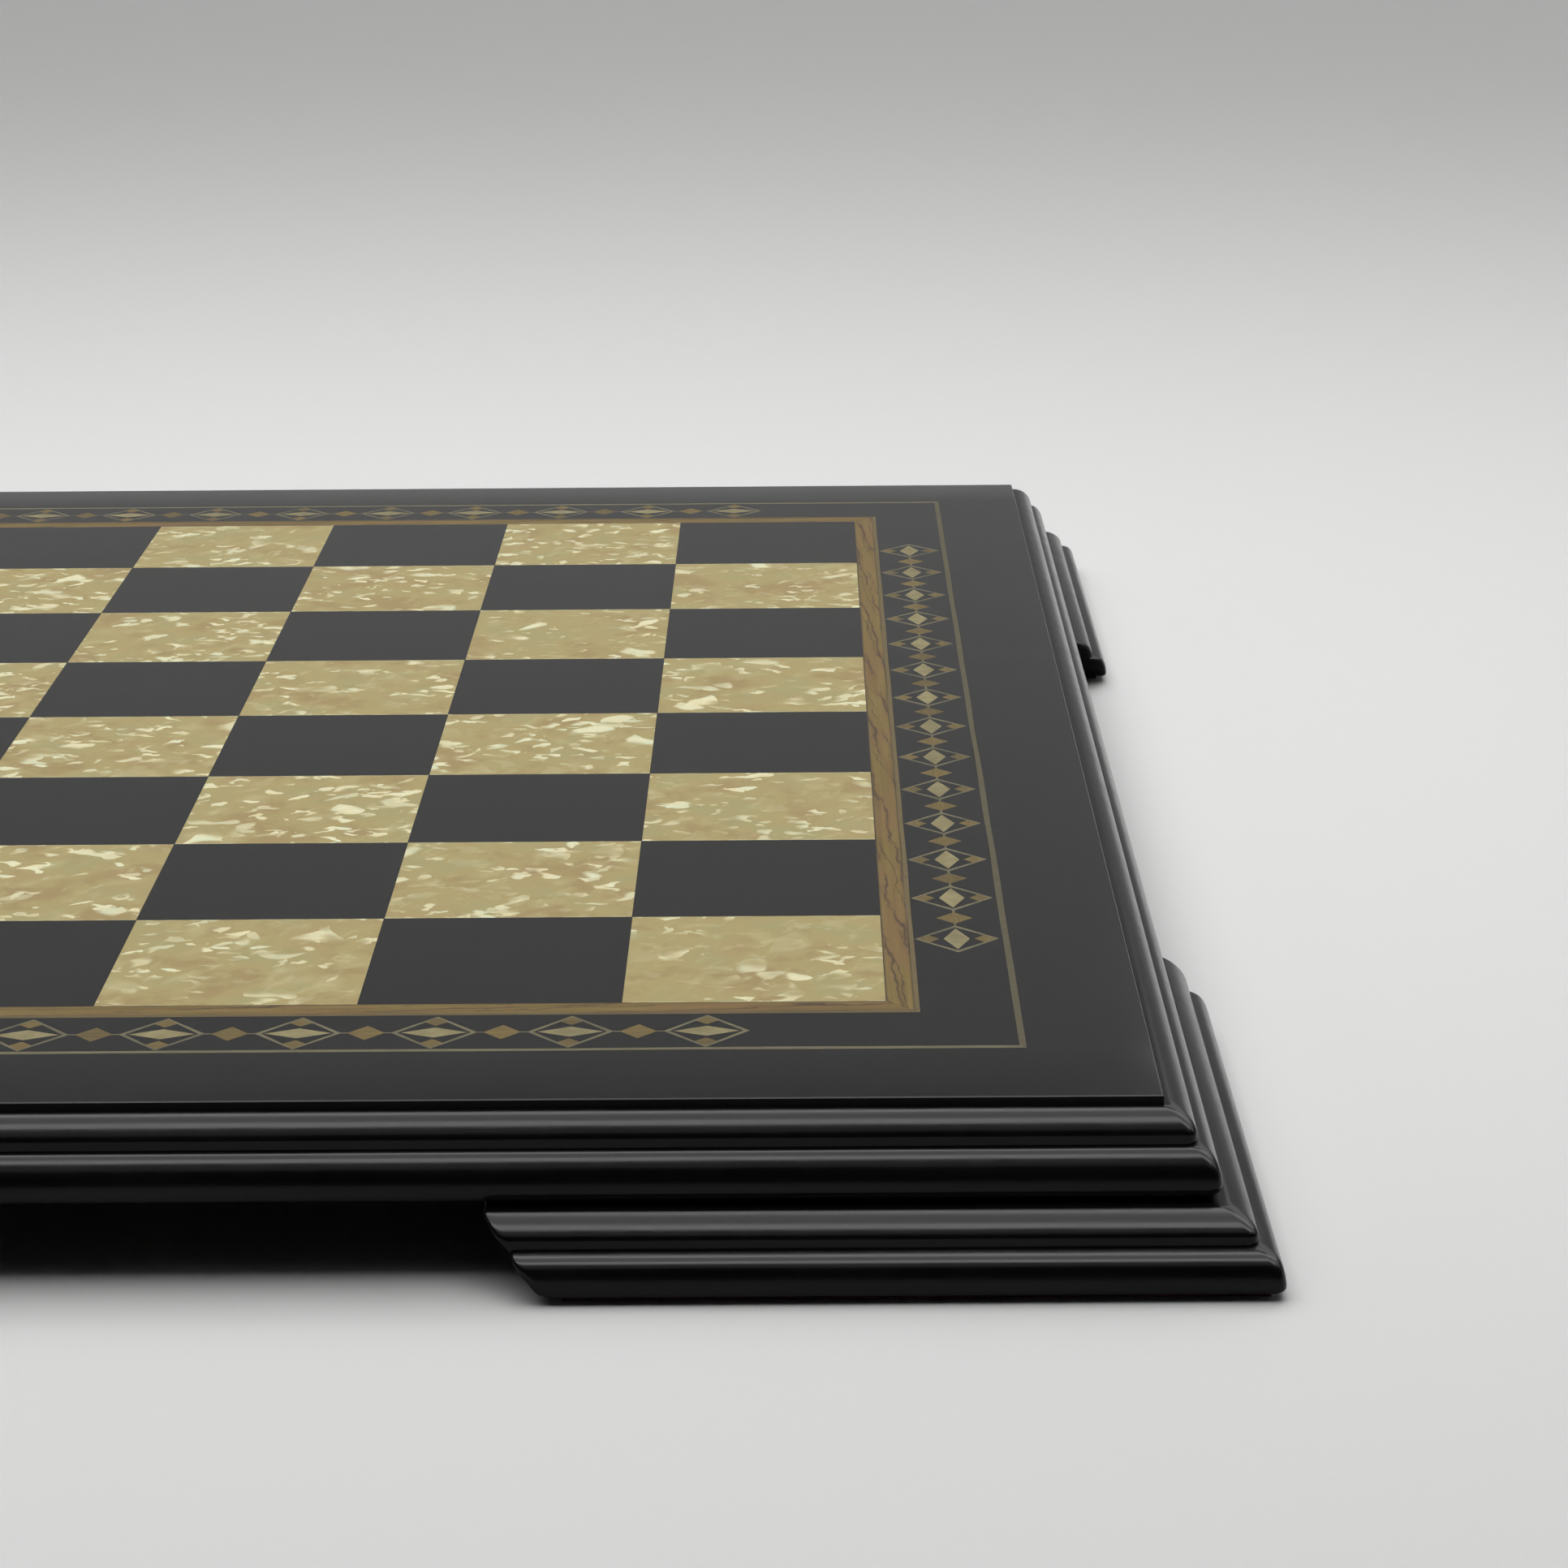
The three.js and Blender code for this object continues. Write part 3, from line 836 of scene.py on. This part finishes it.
def mitre_rings(section, sign):
    """Sections through half of a mitred corner of small radius, from the straight run to the joint."""
    rings = []
    for degrees in (0, 9, 18, 27, 36, 45):
        swing = math.radians(degrees)
        ring = []
        for outward, z in section:
            centre = outward - MITRE_RADIUS
            x = centre + MITRE_RADIUS * math.sin(swing)
            y = centre + MITRE_RADIUS * math.cos(swing)
            ring.append((sign * x, -y, z))
        rings.append(ring)
    return rings


def free_end_rings(section, sign):
    """Sections through the worn edge of an arm's slanting free end, from its face to the straight run."""
    top = max(z for _, z in section)
    rings = []
    for degrees in (90, 75, 60, 45, 30, 15, 0):
        turn = math.radians(degrees)
        ring = []
        for outward, z in inset(section, END_INSET * (1 - math.cos(turn))):
            x = ARM_END_TOP - END_OVERRUN + (top - z) * ARM_END_SLOPE + END_LENGTH * (1 - math.sin(turn))
            ring.append((sign * x, -outward, z))
        rings.append(ring)
    return rings


def frame_rails(material):
    section = rail_section()
    for turn, side in enumerate(SIDES):
        bm = bmesh.new()
        loft(bm, mitre_rings(section, -1)[::-1] + mitre_rings(section, 1))
        add_piece(f"rail_{side}", bm, material, [f"frame_rail_{side}"], turn)


def feet(material, shaded_end_material):
    section = foot_section()
    for turn, side in enumerate(SIDES):
        for corner, sign in ((CORNERS[turn], 1), (CORNERS[turn - 1], -1)):
            bm = bmesh.new()
            loft(bm, free_end_rings(section, sign) + mitre_rings(section, sign))
            name = f"foot_{corner}_{side}_arm"
            foot = add_piece(f"{name}_lacquered", bm, material, [name], turn)
            foot.data.materials.append(shaded_end_material)
            # The free end gets the darker, duller lacquer: painted shade
            for face in foot.data.polygons:
                face.material_index = int(face.normal.z < -0.2 and face.normal.x * sign < -0.4)


def felts(material):
    """L-shaped felts under the feet, cut a little raggedly by hand."""
    draw = random.Random(11)
    outer, start = -FELT[0].y, FELT[0].x
    arm = FOOT[1].y - FELT_MARGIN
    for turn, corner in enumerate(CORNERS):
        bm = bmesh.new()
        corners = [(start, -outer), (outer, -outer), (outer, -start), (-arm, -start), (-arm, arm),
                   (start, arm)]
        outline = []
        for (x0, y0), (x1, y1) in zip(corners, corners[1:] + corners[:1]):
            run = Vector((x1 - x0, y1 - y0))
            inward = Vector((-run.y, run.x)).normalized()
            steps = max(2, round(run.length / FELT_STEP))
            for i in range(steps):
                ragged = draw.uniform(0, FELT_RAGGED) if i else 0
                x, y = x0 + (x1 - x0) * (i / steps), y0 + (y1 - y0) * (i / steps)
                outline.append((x + inward.x * ragged, y + inward.y * ragged))
        plate(bm, outline, FELT[0].z, FOOT[0].z, FELT_ARRIS)
        add_piece(f"felt_pad_{corner}", bm, material, [f"felt_{corner}"], turn, 60)


# ---------------------------------------------------------------- build

black = lacquer_flat()
gloss = lacquer_moulding()
# Painted shade: a darker, duller copy of the lacquer for the sheet's edge and the arms' free ends
dull = shaded_lacquer_edge()
shell = pearl()
small_shell = small_pearl()
pale = fine_wood("light_wood", (0.104, 0.090, 0.045), (0.160, 0.142, 0.078))
# Painted shade: the same light wood darkened, for the side stringing
shaded_pale = fine_wood("light_wood_shaded", (0.060, 0.050, 0.023), (0.096, 0.082, 0.040))
line_wood = fine_wood("line_wood", (0.088, 0.062, 0.020), (0.130, 0.096, 0.036))
brown = fine_wood("marquetry_brown", (0.098, 0.064, 0.013), (0.160, 0.112, 0.028))

core_panel(painted_board())
ground_sheet(black, dull, gloss)
pearl_squares(shell)
walnut_strips(walnut())
hand_cut_line("light_line_strips", LINE_INNER, LINE_OUTER, 0.05 * MM, line_wood, "light_line", 3)
hand_cut_line("stringing_front_back", STRINGING_INNER, STRINGING_OUTER, 0.10 * MM, pale,
              "outer_stringing", 5, (0, 2))
# The side stringing takes the darkened light wood as painted shade
hand_cut_line("stringing_sides", STRINGING_INNER, STRINGING_OUTER, 0.10 * MM, shaded_pale,
              "outer_stringing", 6, (1, 3))
band_looks = {"ground": (black, "black_lacquer"), "lines": (pale, "light_wood"),
              "browns": (brown, "marquetry"), "pearls": (small_shell, "pearl")}
for quarter, band_side in enumerate(SIDES):
    marquetry_band(band_side, quarter, band_looks)
frame_rails(gloss)
feet(gloss, dull)
felts(felt())


# ---------------------------------------------------------------- stage, lights and camera

def stage_material(name, colour, roughness):
    s = Shader(name)
    grain = s.noise(s.coordinates, 900.0, 2)
    base = s.mix(grain, tuple(0.985 * c for c in colour), colour)
    return s.finish(Base_Color=base, Roughness=roughness, Specular_IOR_Level=0.2)


def bowl(name, material, start, end, profile):
    """Part of a round studio sweep: a profile of radius and height turned from one azimuth to another."""
    bm = bmesh.new()
    steps = 48
    rows = []
    for i in range(steps + 1):
        angle = math.radians(start + (end - start) * i / steps)
        rows.append([bm.verts.new((r * math.sin(angle), r * math.cos(angle), z)) for r, z in profile])
    for first, second in zip(rows, rows[1:]):
        for k in range(len(profile) - 1):
            bm.faces.new((first[k], first[k + 1], second[k + 1], second[k]))
    bmesh.ops.remove_doubles(bm, verts=bm.verts, dist=1e-6)
    bmesh.ops.recalc_face_normals(bm, faces=bm.faces)
    mesh = bpy.data.meshes.new(name)
    bm.to_mesh(mesh)
    bm.free()
    mesh.materials.append(material)
    mesh.polygons.foreach_set("use_smooth", [True] * len(mesh.polygons))
    part = bpy.data.objects.new(name, mesh)
    scene.collection.objects.link(part)
    return part


def softbox(name, low, high, height, radiance, shines_on):
    """Level rectangular soft light shining down, given by the corners of its outline.

    It either lights surfaces ("diffuse") or is seen mirrored in them ("glossy").
    """
    data = bpy.data.lights.new(name, "AREA")
    data.shape = "RECTANGLE"
    data.size, data.size_y = high[0] - low[0], high[1] - low[1]
    data.energy = radiance * math.pi * data.size * data.size_y
    lamp = bpy.data.objects.new(name, data)
    lamp.location = ((low[0] + high[0]) / 2, (low[1] + high[1]) / 2, height)
    lamp.visible_camera = False
    lamp.visible_diffuse = shines_on == "diffuse"
    lamp.visible_glossy = shines_on == "glossy"
    scene.collection.objects.link(lamp)
    return lamp


def wall_wash(azimuth, radiance):
    """Softbox that lights the backdrop on one side of the room, its back turned on the board."""
    turn = math.radians(azimuth)
    lamp = softbox(f"wall_wash_{azimuth}", (-0.8, -0.4), (0.8, 0.4), WASH_HEIGHT, radiance, "diffuse")
    lamp.location = (math.sin(turn), math.cos(turn), WASH_HEIGHT)
    lamp.rotation_euler = (math.radians(70), 0, -turn)


def studio():
    """Paper floor and sweep; the part behind the camera neither lights the board nor is mirrored in it."""
    paper = stage_material("studio_paper", (0.74, 0.74, 0.735), 0.8)
    floor_profile = [(0.0, 0.0), (FLOOR_RADIUS + FLOOR_LAP, 0.0)]
    sweep_profile = [(FLOOR_RADIUS + r, SWEEP_RADIUS + z) for r, z in
                     arc((0.0, 0.0), (SWEEP_RADIUS, SWEEP_RADIUS), -90, 0, 16)]
    sweep_profile.append((FLOOR_RADIUS + SWEEP_RADIUS, WALL_HEIGHT))
    bowl("stage_floor", paper, 0, 360, floor_profile)
    bowl("stage_back", paper, -100, 100, sweep_profile)
    near_wall = bowl("stage_near", paper, 100, 260, sweep_profile)
    near_wall.visible_glossy = False
    near_wall.visible_diffuse = False


studio()
softbox("key_over_board", (-0.6, -0.45), (0.6, 0.10), 0.8, 2.05, "diffuse")
softbox("key_behind_board", (-0.6, 0.10), (0.6, 0.50), 0.8, 2.50, "diffuse")
softbox("sweep_light", (-1.5, 0.9), (1.5, 1.9), 1.8, 0.70, "diffuse")
softbox("wall_light", (-1.5, 1.5), (1.5, 2.9), 2.3, 1.26, "diffuse")
for side_azimuth in (90, 135, 180, 225, 270):
    wall_wash(side_azimuth, 3.0)
softbox("strip_low", (-0.7, -1.53), (1.4, -0.80), 1.0, 0.9, "glossy")
softbox("strip_near", (-0.7, -0.77), (1.4, -0.44), 1.0, 10.4, "glossy")
softbox("strip_over", (-0.7, -0.44), (1.4, 0.03), 1.0, 4.0, "glossy")
softbox("strip_back", (-0.7, 0.03), (1.4, 0.28), 1.0, 9.1, "glossy")
softbox("strip_far", (-0.7, 0.50), (2.0, 1.05), 1.0, 3.0, "glossy")
softbox("corner_fill", (0.6, 0.28), (2.0, 0.50), 1.0, 4.0, "glossy")
softbox("far_corner_fill", (0.6, 1.05), (2.8, 2.4), 1.0, 1.2, "glossy")
softbox("side_fill", (1.4, -0.60), (2.6, 0.50), 1.0, 3.0, "glossy")

world = bpy.data.worlds.new("dim_room")
world.use_nodes = True
world.node_tree.nodes["Background"].inputs["Color"].default_value = (1, 1, 1, 1)
world.node_tree.nodes["Background"].inputs["Strength"].default_value = 0.006
scene.world = world
scene.view_settings.view_transform = "Standard"


def photo_camera():
    """The photo's camera, placed by its yaw from +Y, its pitch below the level and its roll."""
    data = bpy.data.cameras.new("camera")
    data.sensor_width = CAMERA_SENSOR
    data.lens = CAMERA_LENS
    data.clip_start = 0.01
    level_forward = Vector((math.sin(CAMERA_YAW), math.cos(CAMERA_YAW), 0))
    forward = level_forward * math.cos(CAMERA_PITCH) - Vector((0, 0, math.sin(CAMERA_PITCH)))
    level_right = Vector((math.cos(CAMERA_YAW), -math.sin(CAMERA_YAW), 0))
    level_up = level_right.cross(forward)
    right = level_right * math.cos(CAMERA_ROLL) + level_up * math.sin(CAMERA_ROLL)
    up = level_up * math.cos(CAMERA_ROLL) - level_right * math.sin(CAMERA_ROLL)
    pose = Matrix((right, up, -forward)).transposed().to_4x4()
    pose.translation = CAMERA_PLACE
    camera = bpy.data.objects.new("camera", data)
    camera.matrix_world = pose
    scene.collection.objects.link(camera)
    return camera


scene.camera = photo_camera()
